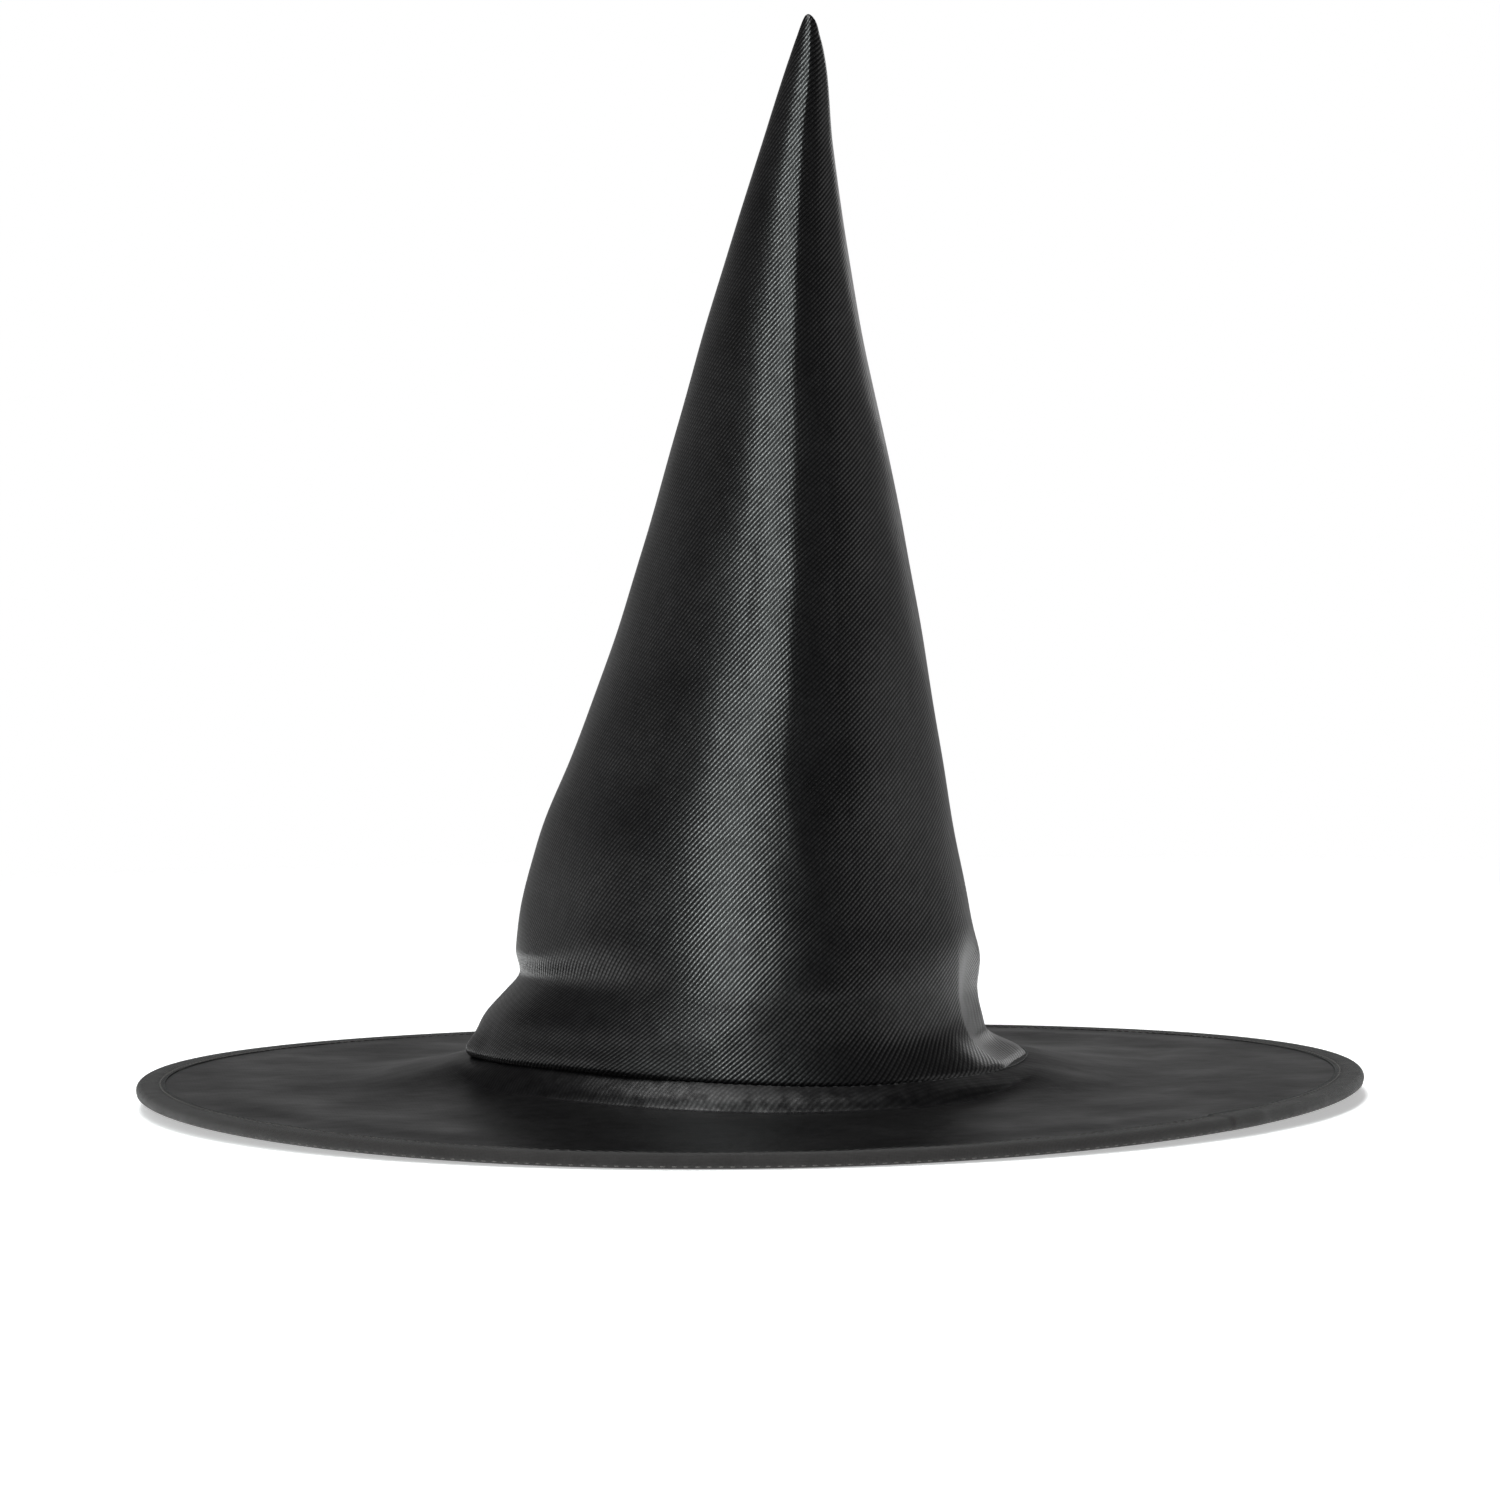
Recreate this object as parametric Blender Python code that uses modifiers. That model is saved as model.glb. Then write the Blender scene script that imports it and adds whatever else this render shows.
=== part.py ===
"""A witch hat: a leaning satin cone sewn to a wired round brim, with its linings, tapes, threads and label.

The hat stands on its brim. The origin is on the floor under the middle of the brim, +Z is up and -Y is the front.
"""

import math

import bmesh
import bpy
from mathutils import Vector

# Driving dimensions, in metres.
SIDES = 48
SLEEVE_SIDES = 12
SHARP_ANGLE = 40
WELD = 0.00001
GAP = 0.0003
BRIM_RADIUS = 0.200
OPENING_RADIUS = 0.0912
HOLE_MARGIN = 0.0030
SEAM_RISE = 0.0085
RISE_POWER = 2.2
RISE_BENDS = (0.0975, 0.109, 0.126)
RISE_ENDS = 0.150
TIP_HEIGHT = 0.3525
TIP_LEAN = 0.0228
DEPTH_TAPER = 0.05
LEAST_DEPTH = 0.95
CLOSED = 0.0005

SATIN = 0.0004
FOAM = 0.0020
LINING = 0.0003
CORE = 0.0016
COVER = 0.00035
RIBBON = 0.0007
BINDING = 0.0004
BINDING_WIDTH = 0.0095
BINDING_CORNER = 0.0010
WIRE_RADIUS = 0.0008
SLEEVE_LENGTH = 0.014
SLEEVE_WALL = 0.0003
THREAD_RADIUS = 0.0003
THREAD_INSET = 0.0015
TAPE_WIDTH = 0.010
TAPE = 0.0008
LABEL_SIZE = (0.022, 0.0005, 0.026)
LABEL_STAND_OFF = 0.0015

# The brim's stack, counted out from the middle of its core.
COVER_INNER_FACE = CORE / 2 + GAP
COVER_OUTER_FACE = COVER_INNER_FACE + COVER
BINDING_INNER_FACE = COVER_OUTER_FACE + GAP
BINDING_OUTER_FACE = BINDING_INNER_FACE + BINDING
RIM_MIDDLE = BINDING_OUTER_FACE
RIM_TOP = 2 * BINDING_OUTER_FACE
HOOP_RADIUS = BRIM_RADIUS - BINDING - SLEEVE_WALL - 2 * GAP - WIRE_RADIUS - GAP
COVER_EDGE = HOOP_RADIUS - WIRE_RADIUS - SLEEVE_WALL - 2 * GAP
COVER_HOLE = OPENING_RADIUS - HOLE_MARGIN
BRIM_RADII = (COVER_HOLE, *RISE_BENDS, RISE_ENDS, COVER_EDGE)

# The crown's layers, counted in from the outside of its satin.
FOAM_FROM = SATIN + GAP
LINING_FROM = FOAM_FROM + FOAM + GAP
CROWN_WALL = LINING_FROM + LINING
RIBBON_FROM = CROWN_WALL + GAP
RIBBON_BOTTOM = 0.0085
RIBBON_TOP = 0.0360
TAPE_BOTTOM = 0.0420
TAPE_TOP = 0.2850

SEAM_HEIGHT = RIM_MIDDLE + SEAM_RISE + COVER_OUTER_FACE + GAP

# Height, left edge and right edge of the crown seen from the front.
# It flares to the seam, stands nearly upright where it goes round a head, and then narrows to its leaning tip.
CROWN_OUTLINE = (
    (SEAM_HEIGHT, -OPENING_RADIUS, OPENING_RADIUS),
    (0.0255, -0.0868, 0.0770),
    (0.0330, -0.0812, 0.0747),
    (0.0400, -0.0759, 0.0742),
    (0.0500, -0.0755, 0.0741),
    (0.0610, -0.0747, 0.0724),
    (0.0840, -0.0685, 0.0680),
    (0.1100, -0.0579, 0.0641),
    (0.1490, -0.0429, 0.0581),
    (0.2010, -0.0267, 0.0490),
    (0.2530, -0.0113, 0.0385),
    (0.3090, 0.0067, 0.0305),
    (0.3450, 0.0189, 0.0267),
    (0.3509, 0.0211, 0.0249),
    (TIP_HEIGHT, TIP_LEAN, TIP_LEAN),
)


def clear_scene():
    for scene_object in list(bpy.data.objects):
        bpy.data.objects.remove(scene_object)


def new_collection(name):
    collection = bpy.data.collections.new(name)
    bpy.context.scene.collection.children.link(collection)
    return collection


def new_material(name, colour, roughness, metallic=0.0):
    material = bpy.data.materials.new(name)
    material.use_nodes = True
    shader = material.node_tree.nodes["Principled BSDF"]
    shader.inputs["Base Color"].default_value = (*colour, 1.0)
    shader.inputs["Roughness"].default_value = roughness
    shader.inputs["Metallic"].default_value = metallic
    return material


def add_object(name, data, material, collection):
    """One named piece of the hat, with its own material."""
    piece = bpy.data.objects.new(name, data)
    data.materials.append(material)
    collection.objects.link(piece)
    return piece


def smooth_mesh(name, bm):
    bmesh.ops.recalc_face_normals(bm, faces=bm.faces)
    mesh = bpy.data.meshes.new(name)
    bm.to_mesh(mesh)
    bm.free()
    mesh.shade_smooth()
    mesh.set_sharp_from_angle(angle=math.radians(SHARP_ANGLE))
    return mesh


def section_at(height):
    """Middle in X, half-width and half-depth of the crown at a height, straight between the outline's heights."""
    for (low, left_low, right_low), (high, left_high, right_high) in zip(CROWN_OUTLINE, CROWN_OUTLINE[1:]):
        if height <= high:
            break
    share = max(0.0, (height - low) / (high - low))
    _, half_width_low, half_depth_low = station_section(low, left_low, right_low)
    _, half_width_high, half_depth_high = station_section(high, left_high, right_high)
    middle_low, middle_high = (left_low + right_low) / 2, (left_high + right_high) / 2
    return (
        middle_low + share * (middle_high - middle_low),
        half_width_low + share * (half_width_high - half_width_low),
        half_depth_low + share * (half_depth_high - half_depth_low),
    )


def station_section(height, left, right):
    """The crown is cut flat, so its girth falls evenly to the tip: where it is narrow from the front, it is deep."""
    half_width = (right - left) / 2
    even_radius = OPENING_RADIUS * (TIP_HEIGHT - height) / (TIP_HEIGHT - SEAM_HEIGHT)
    deep_squared = max(2 * even_radius**2 - half_width**2, (LEAST_DEPTH * half_width) ** 2)
    deepest = OPENING_RADIUS - DEPTH_TAPER * (height - SEAM_HEIGHT)
    return (left + right) / 2, half_width, min(math.sqrt(deep_squared), deepest)


def crown_ring(height, inset):
    """Points round the crown at a height, inset from its outside."""
    middle, half_width, half_depth = section_at(height)
    turns = [2 * math.pi * side / SIDES for side in range(SIDES)]
    return [
        Vector((middle + (half_width - inset) * math.cos(a), (half_depth - inset) * math.sin(a), height))
        for a in turns
    ]


def crown_rings(inset):
    """Rings from the seam up to the point where a cone inset by this much closes."""
    rings = []
    last_height, last_room = None, None
    for height, left, right in CROWN_OUTLINE:
        _, half_width, half_depth = station_section(height, left, right)
        room = min(half_width, half_depth) - inset
        if room <= CLOSED:
            share = last_room / (last_room - room)
            pole = last_height + share * (height - last_height)
            rings.append([Vector((section_at(pole)[0], 0, pole))] * SIDES)
            return rings
        rings.append(crown_ring(height, inset))
        last_height, last_room = height, room
    return rings


def skin_through(name, rings):
    """A grid bent through rings of points. Rings or ends that coincide are welded, and a ring of one point is a pole."""
    bm = bmesh.new()
    rows = len(rings) - 1
    bmesh.ops.create_grid(bm, x_segments=SIDES, y_segments=rows, size=1.0)
    for vert in bm.verts:
        side = round((vert.co.x + 1) / 2 * SIDES) % SIDES
        row = round((vert.co.y + 1) / 2 * rows)
        vert.co = rings[row][side]
    bmesh.ops.remove_doubles(bm, verts=bm.verts, dist=WELD)
    return smooth_mesh(name, bm)


def crown_layer(name, outside, inside, material, collection):
    """A closed conical skin between two insets, open underneath."""
    rings = crown_rings(outside)[::-1] + crown_rings(inside)
    return add_object(name, skin_through(name, rings), material, collection)


def sweatband(material, collection):
    """A ribbon that follows the inside of the crown from the seam up."""
    heights = [RIBBON_BOTTOM, SEAM_HEIGHT, *(h for h, _, _ in CROWN_OUTLINE[1:3]), RIBBON_TOP]
    outer = [crown_ring(height, RIBBON_FROM) for height in heights]
    inner = [crown_ring(height, RIBBON_FROM + RIBBON) for height in heights]
    rings = outer[::-1] + inner + outer[-1:]
    return add_object("sweatband", skin_through("sweatband", rings), material, collection)


def back_seam_tape(material, collection):
    """A narrow tape up the inside of the crown's back seam, solidified towards the inside."""
    bends = [height for height, _, _ in CROWN_OUTLINE if TAPE_BOTTOM < height < TAPE_TOP]
    heights = [TAPE_BOTTOM, *bends, TAPE_TOP]
    rows = len(heights) - 1
    bm = bmesh.new()
    bmesh.ops.create_grid(bm, x_segments=2, y_segments=rows, size=1.0)
    for vert in bm.verts:
        height = heights[round((vert.co.y + 1) / 2 * rows)]
        middle, half_width, half_depth = section_at(height)
        sideways = vert.co.x * TAPE_WIDTH / 2
        reach = math.sqrt(1 - (sideways / (half_width - RIBBON_FROM)) ** 2)
        vert.co = (middle + sideways, (half_depth - RIBBON_FROM - GAP) * reach, height)
    tape = add_object("back_seam_tape", smooth_mesh("back_seam_tape", bm), material, collection)
    thickness = tape.modifiers.new("thickness", "SOLIDIFY")
    thickness.thickness = TAPE
    thickness.offset = 1.0 if tape.data.polygons[0].normal.y < 0 else -1.0
    return tape


def brim_middle(radius):
    """Height of the middle of the brim's core: flat at the rim, and swept up to the seam."""
    share = min(1.0, max(0.0, (RISE_ENDS - radius) / (RISE_ENDS - OPENING_RADIUS)))
    return RIM_MIDDLE + SEAM_RISE * share**RISE_POWER


def turned(name, profile, material, collection):
    """A closed profile of (radius, height) points turned about Z. Its outer side runs top to bottom."""
    mesh = bpy.data.meshes.new(name)
    points = [(radius, 0.0, height) for radius, height in profile]
    edges = [(i, (i + 1) % len(points)) for i in range(len(points))]
    mesh.from_pydata(points, edges, [])
    piece = add_object(name, mesh, material, collection)
    screw = piece.modifiers.new("turn", "SCREW")
    screw.steps = screw.render_steps = SIDES
    screw.use_merge_vertices = True
    screw.merge_threshold = WELD
    screw.use_smooth_shade = True
    return piece


def brim_layer(name, low, high, material, collection):
    """A turned sheet of the brim between two offsets from the middle of its core."""
    top = [(radius, brim_middle(radius) + high) for radius in BRIM_RADII]
    bottom = [(radius, brim_middle(radius) + low) for radius in reversed(BRIM_RADII)]
    return turned(name, top + bottom, material, collection)


def edge_binding(material, collection):
    """A tape folded round the rim. Its flat underside is what the hat stands on."""
    mouth = BRIM_RADIUS - BINDING_WIDTH
    wall = BRIM_RADIUS - BINDING
    corner = BINDING_CORNER
    profile = [
        (mouth, RIM_TOP),
        (BRIM_RADIUS - corner, RIM_TOP),
        (BRIM_RADIUS, RIM_TOP - corner),
        (BRIM_RADIUS, corner),
        (BRIM_RADIUS - corner, 0.0),
        (mouth, 0.0),
        (mouth, BINDING),
        (wall, BINDING),
        (wall, RIM_TOP - BINDING),
        (mouth, RIM_TOP - BINDING),
    ]
    return turned("edge_binding", profile, material, collection)


def thread_ring(name, radius, height, material, collection):
    """One line of stitching as a plain ring of thread."""
    curve = bpy.data.curves.new(name, "CURVE")
    curve.dimensions = "3D"
    spline = curve.splines.new("POLY")
    spline.points.add(SIDES - 1)
    for side, point in enumerate(spline.points):
        turn = 2 * math.pi * side / SIDES
        point.co = (radius * math.cos(turn), radius * math.sin(turn), height, 1.0)
    spline.use_cyclic_u = True
    curve.bevel_depth = THREAD_RADIUS
    curve.bevel_resolution = 1
    return add_object(name, curve, material, collection)


def hoop_wire(material, collection):
    """A spring wire round the rim, straight from corner to corner, whose two ends meet halfway along one side."""
    curve = bpy.data.curves.new("hoop_wire", "CURVE")
    curve.dimensions = "3D"
    spline = curve.splines.new("POLY")
    corners = [hoop_point(side) for side in range(1, SIDES + 1)]
    join = (corners[-1] + corners[0]) / 2
    along = (corners[0] - corners[-1]).normalized() * GAP
    points = [join + along, *corners, join - along]
    spline.points.add(len(points) - 1)
    for place, point in zip(points, spline.points):
        point.co = (*place, 1.0)
    curve.bevel_depth = WIRE_RADIUS
    curve.bevel_resolution = 2
    curve.use_fill_caps = True
    return add_object("hoop_wire", curve, material, collection)


def hoop_point(side):
    """A corner of the hoop. Side 0 is at the middle of the back."""
    turn = math.pi / 2 + 2 * math.pi * side / SIDES
    return Vector((HOOP_RADIUS * math.cos(turn), HOOP_RADIUS * math.sin(turn), RIM_MIDDLE))


def hoop_sleeve(material, collection):
    """A tube crimped over the two ends of the hoop."""
    bm = bmesh.new()
    radius = WIRE_RADIUS + GAP
    bmesh.ops.create_cone(
        bm, cap_ends=False, segments=SLEEVE_SIDES, radius1=radius, radius2=radius, depth=SLEEVE_LENGTH
    )
    sleeve = add_object("hoop_sleeve", smooth_mesh("hoop_sleeve", bm), material, collection)
    first, last = hoop_point(1), hoop_point(SIDES)
    sleeve.rotation_euler = (first - last).to_track_quat("Z", "Y").to_euler()
    sleeve.location = (first + last) / 2
    wall = sleeve.modifiers.new("wall", "SOLIDIFY")
    wall.thickness = SLEEVE_WALL
    wall.offset = 1.0
    return sleeve


def care_label(material, collection):
    """A blank label that hangs from the top of the sweatband at the back, with its origin on its sewn edge."""
    width, thickness, length = LABEL_SIZE
    bm = bmesh.new()
    bmesh.ops.create_cube(bm, size=1.0)
    bmesh.ops.scale(bm, verts=bm.verts, vec=(width, thickness, length))
    bmesh.ops.translate(bm, verts=bm.verts, vec=(0, 0, -length / 2))
    label = add_object("care_label", smooth_mesh("care_label", bm), material, collection)
    middle, _, half_depth = section_at(RIBBON_TOP)
    band_inside = half_depth - RIBBON_FROM - RIBBON
    label.location = (middle, band_inside - LABEL_STAND_OFF, RIBBON_TOP + GAP)
    return label


def build_crown(satin, foam, tricot, tape, collection):
    crown_layer("crown_shell", 0.0, SATIN, satin, collection)
    crown_layer("crown_foam", FOAM_FROM, FOAM_FROM + FOAM, foam, collection)
    crown_layer("crown_lining", LINING_FROM, CROWN_WALL, tricot, collection)
    back_seam_tape(tape, collection)


def build_brim(satin, foam, tape, steel, ferrule, collection):
    brim_layer("brim_top_cover", COVER_INNER_FACE, COVER_OUTER_FACE, satin, collection)
    brim_layer("brim_core", -CORE / 2, CORE / 2, foam, collection)
    brim_layer("brim_under_cover", -COVER_OUTER_FACE, -COVER_INNER_FACE, satin, collection)
    edge_binding(tape, collection)
    hoop_wire(steel, collection)
    hoop_sleeve(ferrule, collection)


def build_threads(thread, collection):
    """The binding's stitches lie on the tape, and the crown's lie in the corner between crown and brim."""
    on_tape = BRIM_RADIUS - BINDING_WIDTH + THREAD_INSET
    thread_ring("binding_thread", on_tape, RIM_TOP + GAP + THREAD_RADIUS, thread, collection)
    in_corner = OPENING_RADIUS + 2 * GAP + THREAD_RADIUS
    thread_ring("crown_seam_thread", in_corner, SEAM_HEIGHT + THREAD_RADIUS, thread, collection)
    in_band = OPENING_RADIUS - RIBBON_FROM - RIBBON - 2 * GAP - THREAD_RADIUS
    thread_ring("sweatband_thread", in_band, RIBBON_BOTTOM + THREAD_INSET, thread, collection)


def main():
    clear_scene()
    hat = new_collection("witch_hat")
    satin = new_material("black_satin", (0.012, 0.012, 0.013), 0.35)
    foam = new_material("foam", (0.030, 0.030, 0.032), 0.95)
    tricot = new_material("tricot", (0.020, 0.020, 0.021), 0.85)
    tape = new_material("binding_tape", (0.022, 0.020, 0.020), 0.70)
    ribbon = new_material("grosgrain", (0.018, 0.018, 0.018), 0.65)
    thread = new_material("thread", (0.035, 0.033, 0.032), 0.55)
    label = new_material("label_satin", (0.75, 0.74, 0.72), 0.45)
    steel = new_material("spring_steel", (0.45, 0.45, 0.46), 0.35, metallic=1.0)
    ferrule = new_material("aluminium", (0.70, 0.70, 0.71), 0.40, metallic=1.0)
    build_crown(satin, foam, tricot, tape, hat)
    build_brim(satin, foam, tape, steel, ferrule, hat)
    sweatband(ribbon, hat)
    build_threads(thread, hat)
    care_label(label, hat)


main()
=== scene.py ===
"""The looks of a black satin witch hat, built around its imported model.

The hat stands on its brim on the floor, its front faces -Y and its tip leans to +X. Lengths are in metres.
A turn is an angle round the hat: 0 at the front, a quarter circle at +X, minus a quarter at -X and a half at
the back.
"""

import math

import bmesh
import bpy
import numpy as np
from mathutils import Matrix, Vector


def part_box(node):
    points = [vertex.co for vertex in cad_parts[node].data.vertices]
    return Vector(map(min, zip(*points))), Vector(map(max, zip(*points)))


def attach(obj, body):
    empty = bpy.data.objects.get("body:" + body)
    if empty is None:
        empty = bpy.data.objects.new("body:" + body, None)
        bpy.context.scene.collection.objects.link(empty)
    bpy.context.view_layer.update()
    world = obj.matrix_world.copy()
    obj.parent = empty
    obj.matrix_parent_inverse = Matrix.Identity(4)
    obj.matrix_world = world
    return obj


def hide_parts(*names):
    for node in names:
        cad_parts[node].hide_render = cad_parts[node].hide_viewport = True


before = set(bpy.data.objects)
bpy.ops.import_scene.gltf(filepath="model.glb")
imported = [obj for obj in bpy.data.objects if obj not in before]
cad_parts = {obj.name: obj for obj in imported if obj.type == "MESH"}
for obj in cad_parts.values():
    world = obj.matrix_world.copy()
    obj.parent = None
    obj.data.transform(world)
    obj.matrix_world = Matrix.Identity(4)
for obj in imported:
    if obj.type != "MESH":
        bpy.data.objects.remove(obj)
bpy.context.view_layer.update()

# Cloths, in their real thicknesses and with a hair's gap between them.
SATIN = 0.0004
GAP = 0.0002
FOAM = 0.0020
LINING = 0.0003
CROWN_FOAM_FROM = SATIN + GAP
CROWN_LINING_FROM = CROWN_FOAM_FROM + FOAM + GAP
CROWN_WALL = CROWN_LINING_FROM + LINING
STITCH = 0.0034
THREAD_RADIUS = 0.00022

# The twill's ribs, from one to the next, and how far they and the cloth's crumples stand out.
RIB = 0.00134
SATIN_RELIEF = 0.00008

AROUND = 288
FULL_TURN = 2 * math.pi


def degrees(value):
    return value * math.pi / 180


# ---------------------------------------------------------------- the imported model's shape


def rings_of(node):
    """Height, middle, half-width and half-depth at each height where a crown node has a ring of corners."""
    found = {}
    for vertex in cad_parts[node].data.vertices:
        found.setdefault(round(vertex.co.z, 4), []).append(vertex.co)
    rows = []
    for height in sorted(found):
        xs = [point.x for point in found[height]]
        half_depth = max(point.y for point in found[height])
        rows.append((height, (max(xs) + min(xs)) / 2, (max(xs) - min(xs)) / 2, half_depth))
    return np.array([row for row in rows if row[2] > 0 or row is rows[-1]])


def smooth_curve(places, values):
    """A smooth function through points, each with the mean slope of its two sides."""
    slopes = np.gradient(values, places)

    def value_at(place):
        place = np.clip(place, places[0], places[-1])
        start = np.clip(np.searchsorted(places, place) - 1, 0, len(places) - 2)
        span = places[start + 1] - places[start]
        share = (place - places[start]) / span
        return (
            values[start] * (1 + 2 * share) * (1 - share) ** 2
            + slopes[start] * span * share * (1 - share) ** 2
            + values[start + 1] * share**2 * (3 - 2 * share)
            + slopes[start + 1] * span * share**2 * (share - 1)
        )

    return value_at


CROWN_RINGS = rings_of("crown_shell")
SEAM_HEIGHT, TIP_HEIGHT = CROWN_RINGS[0, 0], CROWN_RINGS[-1, 0]
OPENING_RADIUS = CROWN_RINGS[0, 2]
DOME = 0.0070
crown_middle = smooth_curve(CROWN_RINGS[:, 0], CROWN_RINGS[:, 1])
plain_half_width = smooth_curve(CROWN_RINGS[:-1, 0], CROWN_RINGS[:-1, 2])
plain_half_depth = smooth_curve(CROWN_RINGS[:-1, 0], CROWN_RINGS[:-1, 3])


def domed(plain, height):
    """A half-width or half-depth of the crown, closed by a round dome at the tip."""
    share = np.clip((TIP_HEIGHT - height) / DOME, 0, 1)
    return plain(np.minimum(height, TIP_HEIGHT - DOME)) * np.sqrt(share)


def crown_half_width(height):
    return domed(plain_half_width, height)


def crown_half_depth(height):
    return domed(plain_half_depth, height)


def brim_profile():
    """The height of the middle of the brim's core as a function of its radius."""
    heights = {}
    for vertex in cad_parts["brim_core"].data.vertices:
        radius = round(math.hypot(vertex.co.x, vertex.co.y), 4)
        heights.setdefault(radius, []).append(vertex.co.z)
    radii = sorted(heights)
    middles = [(max(heights[r]) + min(heights[r])) / 2 for r in radii]
    return np.array(radii), smooth_curve(np.array(radii), np.array(middles))


BRIM_RADII, brim_core_middle = brim_profile()
BRIM_INNER, BRIM_OUTER = BRIM_RADII[0], BRIM_RADII[-1]
BRIM_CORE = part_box("brim_core")[1].z - float(brim_core_middle(OPENING_RADIUS))
RIM_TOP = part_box("edge_binding")[1].z
RIM_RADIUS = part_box("edge_binding")[1].x
TAPE_WIDTH = 0.0094
TAPE_MOUTH = RIM_RADIUS - TAPE_WIDTH
TAPE_STITCHES = TAPE_MOUTH + 0.0016

# The flat sector that the crown was cut from has its small end cut off this far from its centre.
SECTOR_START = 0.010

# The roll at the front of the brim ends at this radius.
ROLL_FOOT = 0.102


# ---------------------------------------------------------------- how the cloth lies


def step(value, start, end):
    """0 before start and 1 after end, with a smooth rise between."""
    share = np.clip((value - start) / (end - start), 0, 1)
    return share * share * (3 - 2 * share)


def bump(value, centre, width):
    return np.exp(-(((value - centre) / width) ** 2))


def tent(value, centre, width):
    """A ridge with a sharp top."""
    return np.clip(1 - np.abs(value - centre) / width, 0, None)


def window(turn, start, end, soft):
    """1 between two turns, given in degrees, and 0 away from them."""
    deg = turn * 180 / math.pi
    return step(deg, start - soft, start + soft) * (1 - step(deg, end - soft, end + soft))


def waves(turn, along, size, count, seed):
    """Soft unevenness: a few waves of random direction that join up at the back."""
    random = np.random.default_rng(seed)
    total = np.zeros(np.broadcast(turn, along).shape)
    for _ in range(count):
        around = random.integers(2, 9)
        length = random.uniform(0.035, 0.120)
        phase, tilt = random.uniform(0, FULL_TURN, 2)
        total = total + np.sin(around * turn + phase) * np.sin(FULL_TURN * along / length + tilt)
    return size * total / math.sqrt(count)


seam_rise = smooth_curve(
    np.array([-220, -180, -140, -90, -60, -37, -10, 20, 40, 70, 90, 140, 180, 220]),
    np.array([0.3, 0.0, 1.5, 3.1, 3.6, 3.3, 1.0, -1.2, -1.2, -0.4, 0.6, 0.3, 0.0, 1.5]) / 1000,
)


def seam_lift(turn):
    """How much higher or lower than level the crown's seam runs: the brim is pulled up most at the left."""
    return seam_rise(turn * 180 / math.pi)


def rim_lift(turn):
    """How far the sides of the brim curl up from the floor."""
    return 0.0040 * np.sin(turn) ** 2


def left_crease(turn, height):
    """The crown hangs over a crease that climbs from the left edge towards the front and fades there."""
    line = 0.0395 + 0.0075 * step(turn, degrees(-82), degrees(-35))
    below = 1 - step(height, line - 0.0050, line + 0.0090)
    near = window(turn, -98, -30, 18)
    overhang = 0.0005 * bump(height, line + 0.0080, 0.0080) * window(turn, -120, -36, 16)
    hollow = -0.0018 * below * step(height, SEAM_HEIGHT + 0.0050, line) * near
    return overhang + hollow


def left_flare(turn, height):
    """Below that crease the cloth swells into a low roll on the seam, with a corner at its left end."""
    roll = 0.0019 * bump(height, SEAM_HEIGHT + 0.0022, 0.0050) * window(turn, -80, -20, 12)
    corner = 0.0024 * tent(turn, degrees(-78), degrees(10)) * bump(height, SEAM_HEIGHT + 0.0030, 0.0050)
    return roll + corner


def right_fold(turn, height):
    """By the right edge the cloth is pressed flat under a shoulder, over a hollow and a lobe at its foot."""
    share = (turn * 180 / math.pi - 76) / 11
    flattened = -0.0019 * np.clip(1 - share**2, 0, 1) * (1 - step(height, 0.038, 0.056))
    hollow = -0.0042 * bump(height, SEAM_HEIGHT + 0.0062, 0.0050) * window(turn, 66, 125, 12)
    lobe = 0.0010 * bump(height, SEAM_HEIGHT + 0.0005, 0.0035) * window(turn, 70, 110, 12)
    shoulder = 0.0019 * bump(height, 0.0435, 0.0072) * window(turn, 84, 104, 10)
    return flattened + hollow + lobe + shoulder


def front_ridge(turn, height):
    """A soft fold up the front, where the flat-cut cloth was pressed."""
    line = degrees(8) + degrees(13) * step(height, 0.115, 0.050)
    return 0.0011 * tent(turn, line, degrees(17)) * step(height, 0.030, 0.075)


def dents(turn, height):
    """Where the foam behind the satin gives or pushes out.

    Each is a turn in degrees, a height, a width in degrees, a tallness and how far out it stands.
    """
    marks = (
        (-62, 0.066, 15, 0.012, -0.0011),
        (-38, 0.083, 13, 0.017, 0.0008),
        (-74, 0.098, 16, 0.016, 0.0007),
        (44, 0.060, 14, 0.018, -0.0008),
        (58, 0.104, 14, 0.024, -0.0007),
        (-140, 0.055, 18, 0.014, -0.0012),
        (128, 0.070, 16, 0.016, -0.0012),
    )
    total = 0
    for at, level, wide, tall, out in marks:
        total = total + out * bump(turn, degrees(at), degrees(wide)) * bump(height, level, tall)
    return total


def back_seam(turn, height):
    """The crown's one seam pulls a groove into the back, puckered by its stitches."""
    away = math.pi - np.abs(turn)
    radius = crown_half_depth(height)
    groove = bump(away * radius, 0, 0.0011)
    pucker = 0.00018 * np.sin(FULL_TURN * height / 0.0074) * bump(away * radius, 0, 0.0060)
    return -0.0011 * groove + pucker


def folds(turn, height):
    """How far the satin lies out from the crown's plain shape."""
    slack = np.clip(crown_half_width(height) / 0.045, 0, 1)
    shaped = (
        left_crease(turn, height)
        + left_flare(turn, height)
        + right_fold(turn, height)
        + dents(turn, height)
        + waves(turn, height, 0.00028, 7, seed=5)
    )
    tuck = -0.0007 * bump(height, SEAM_HEIGHT, 0.0008)
    return slack * (shaped + front_ridge(turn, height)) + np.sqrt(slack) * back_seam(turn, height) + tuck


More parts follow.
